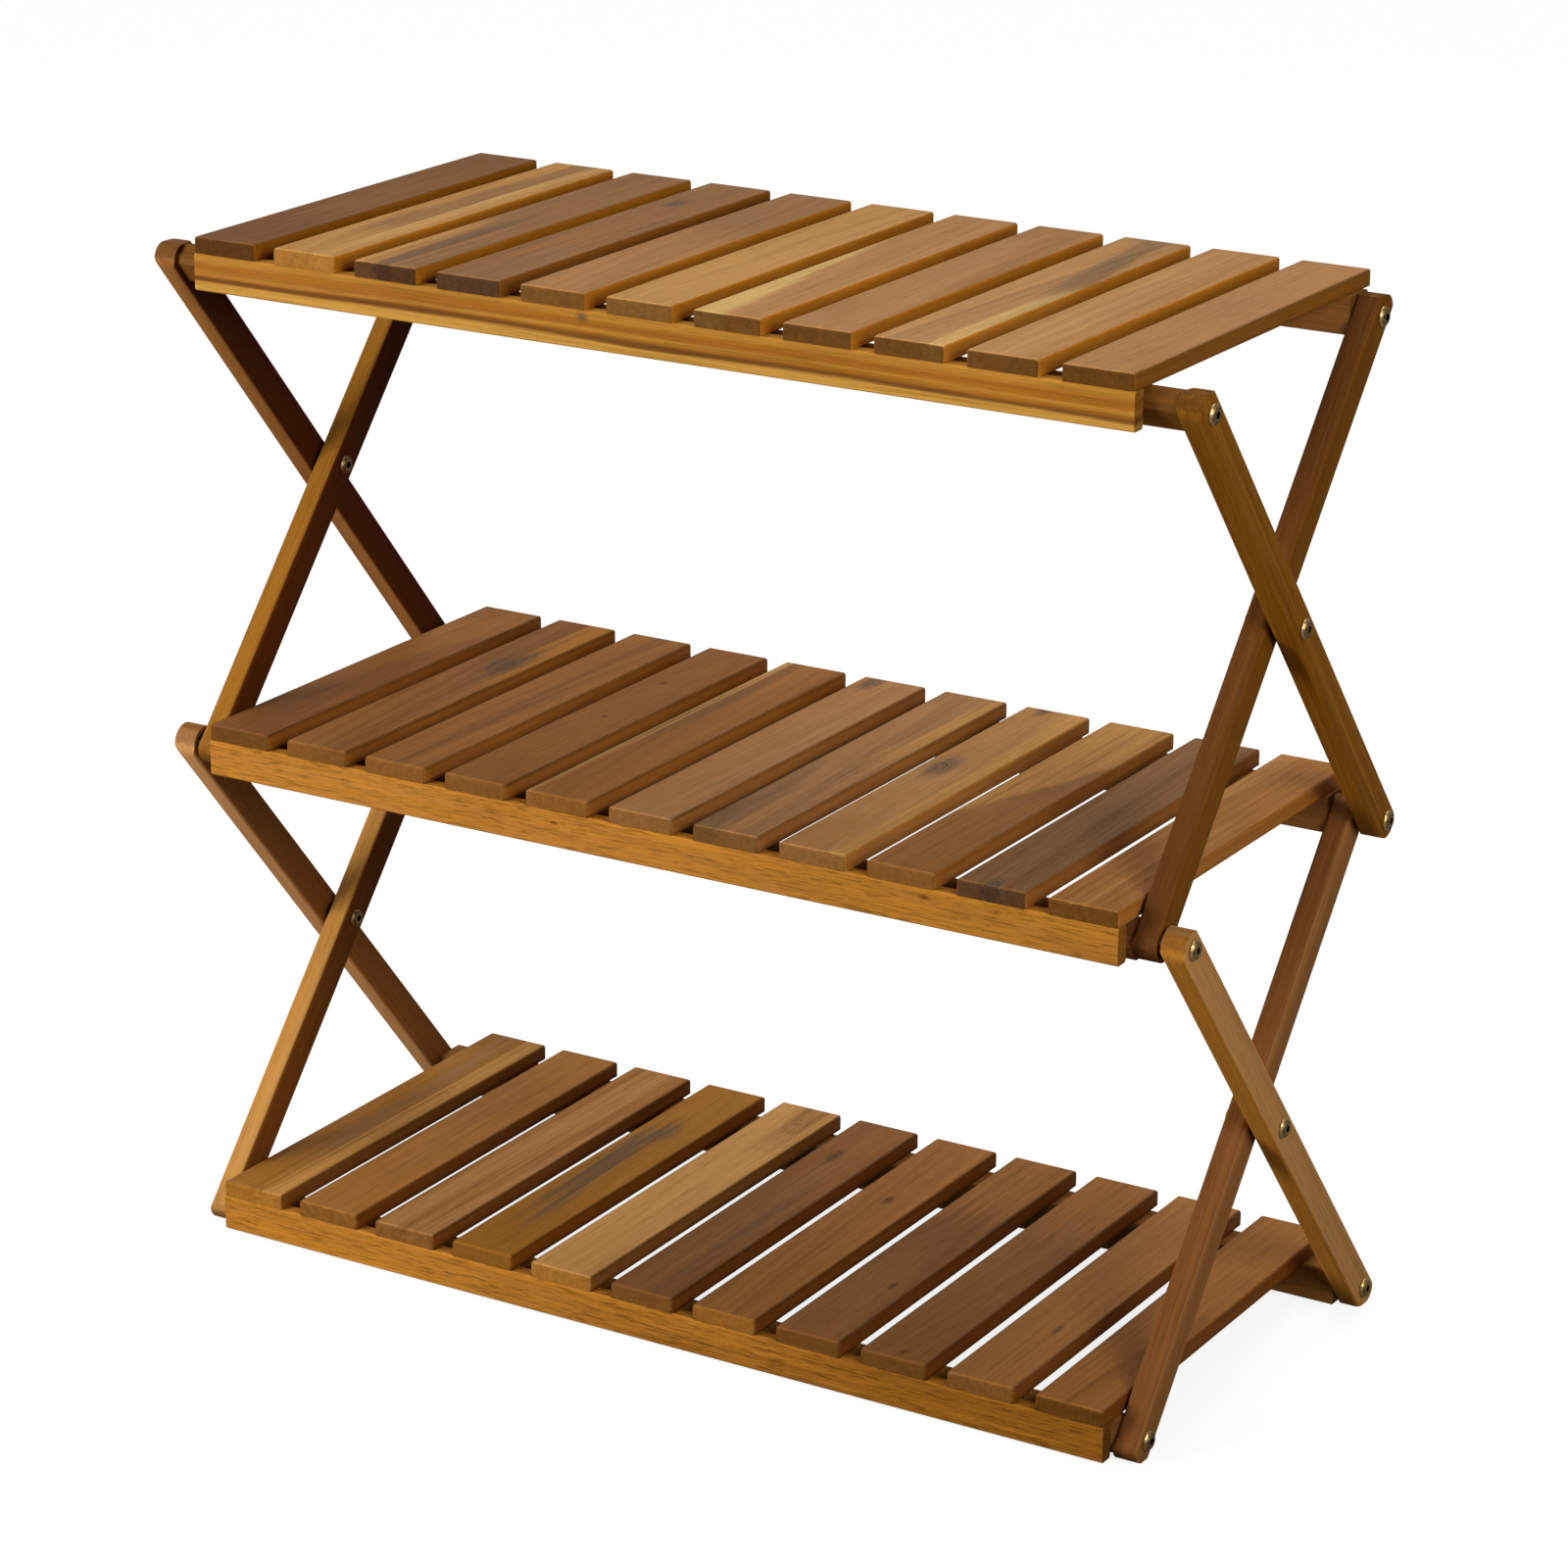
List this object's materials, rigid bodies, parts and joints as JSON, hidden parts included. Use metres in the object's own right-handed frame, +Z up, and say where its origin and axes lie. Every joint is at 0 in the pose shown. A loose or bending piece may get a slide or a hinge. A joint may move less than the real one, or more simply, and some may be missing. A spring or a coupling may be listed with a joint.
{
  "type": "shoe rack",
  "caption": "Folding wooden shoe rack: slatted shelves hinged at the back of crossed scissor legs, held open by rails that hook over the front bars.",
  "frame": {"origin": "on the floor under the middle of the slats", "axes": "+X to the right along the shelves, +Y to the back, +Z up"},
  "size_m": [0.7032, 0.3, 0.6418],
  "materials": {
    "slat_wood": "oiled hardwood with warm brown, golden and grey-brown boards",
    "rail_wood": "oiled hardwood, golden brown, grain along the rail",
    "leg_wood": "oiled hardwood, mid brown, grain along the leg",
    "antique_brass": "dull antique brass plating with rubbed bright rims"
  },
  "bodies": {
    "lower_inner_frame": {"lower_inner_leg_left": "leg_wood", "lower_inner_leg_right": "leg_wood", "bottom_front_bar": "rail_wood", "bottom_front_bolts": "antique_brass", "lower_crossing_bolts": "antique_brass"},
    "lower_outer_frame": {"lower_outer_leg_left": "leg_wood", "lower_outer_leg_right": "leg_wood"},
    "upper_inner_frame": {"upper_inner_leg_left": "leg_wood", "upper_inner_leg_right": "leg_wood", "middle_front_bar": "rail_wood", "middle_front_bolts": "antique_brass", "upper_crossing_bolts": "antique_brass"},
    "upper_outer_frame": {"upper_outer_leg_left": "leg_wood", "upper_outer_leg_right": "leg_wood", "top_front_bar": "rail_wood", "top_front_bolts": "antique_brass"},
    "bottom_shelf": {"bottom_slat_01": "slat_wood", "bottom_slat_02": "slat_wood", "bottom_slat_03": "slat_wood", "bottom_slat_04": "slat_wood", "bottom_slat_05": "slat_wood", "bottom_slat_06": "slat_wood", "bottom_slat_07": "slat_wood", "bottom_slat_08": "slat_wood", "bottom_slat_09": "slat_wood", "bottom_slat_10": "slat_wood", "bottom_slat_11": "slat_wood", "bottom_front_rail": "rail_wood", "bottom_rear_rail": "rail_wood", "bottom_rear_bolts": "antique_brass"},
    "middle_shelf": {"middle_slat_01": "slat_wood", "middle_slat_02": "slat_wood", "middle_slat_03": "slat_wood", "middle_slat_04": "slat_wood", "middle_slat_05": "slat_wood", "middle_slat_06": "slat_wood", "middle_slat_07": "slat_wood", "middle_slat_08": "slat_wood", "middle_slat_09": "slat_wood", "middle_slat_10": "slat_wood", "middle_slat_11": "slat_wood", "middle_front_rail": "rail_wood", "middle_rear_rail": "rail_wood", "middle_rear_bolts": "antique_brass"},
    "top_shelf": {"top_slat_01": "slat_wood", "top_slat_02": "slat_wood", "top_slat_03": "slat_wood", "top_slat_04": "slat_wood", "top_slat_05": "slat_wood", "top_slat_06": "slat_wood", "top_slat_07": "slat_wood", "top_slat_08": "slat_wood", "top_slat_09": "slat_wood", "top_slat_10": "slat_wood", "top_slat_11": "slat_wood", "top_front_rail": "rail_wood", "top_rear_rail": "rail_wood", "top_rear_bolts": "antique_brass"}
  },
  "joints": [
    {"name": "fold", "type": "hinge", "parent": "lower_inner_frame", "child": "lower_outer_frame", "pos_m": [0, 0.00004, 0.16386], "axis": [-1, 0, 0], "range_deg": [0, 68.8]},
    {"name": "upper_inner_turn", "type": "hinge", "parent": "lower_outer_frame", "child": "upper_inner_frame", "pos_m": [0, -0.12846, 0.31586], "axis": [1, 0, 0], "range_deg": [0, 68.8]},
    {"name": "upper_outer_turn", "type": "hinge", "parent": "upper_inner_frame", "child": "upper_outer_frame", "pos_m": [0, 0.00004, 0.46786], "axis": [-1, 0, 0], "range_deg": [0, 68.8]},
    {"name": "bottom_shelf_lift", "type": "hinge", "parent": "lower_outer_frame", "child": "bottom_shelf", "pos_m": [0, 0.12854, 0.01186], "axis": [-1, 0, 0], "range_deg": [0, 55.7]},
    {"name": "middle_shelf_lift", "type": "hinge", "parent": "lower_inner_frame", "child": "middle_shelf", "pos_m": [0, 0.12854, 0.31586], "axis": [-1, 0, 0], "range_deg": [0, 124.5]},
    {"name": "top_shelf_lift", "type": "hinge", "parent": "upper_inner_frame", "child": "top_shelf", "pos_m": [0, 0.12854, 0.61986], "axis": [-1, 0, 0], "range_deg": [0, 124.5]}
  ],
  "couplings": [
    {"joint": "upper_inner_turn", "follows": "fold", "ratio": 1},
    {"joint": "upper_outer_turn", "follows": "fold", "ratio": 1},
    {"joint": "bottom_shelf_lift", "follows": "fold", "ratio": 0.80814},
    {"joint": "middle_shelf_lift", "follows": "fold", "ratio": 1.8081},
    {"joint": "top_shelf_lift", "follows": "fold", "ratio": 1.8081}
  ]
}
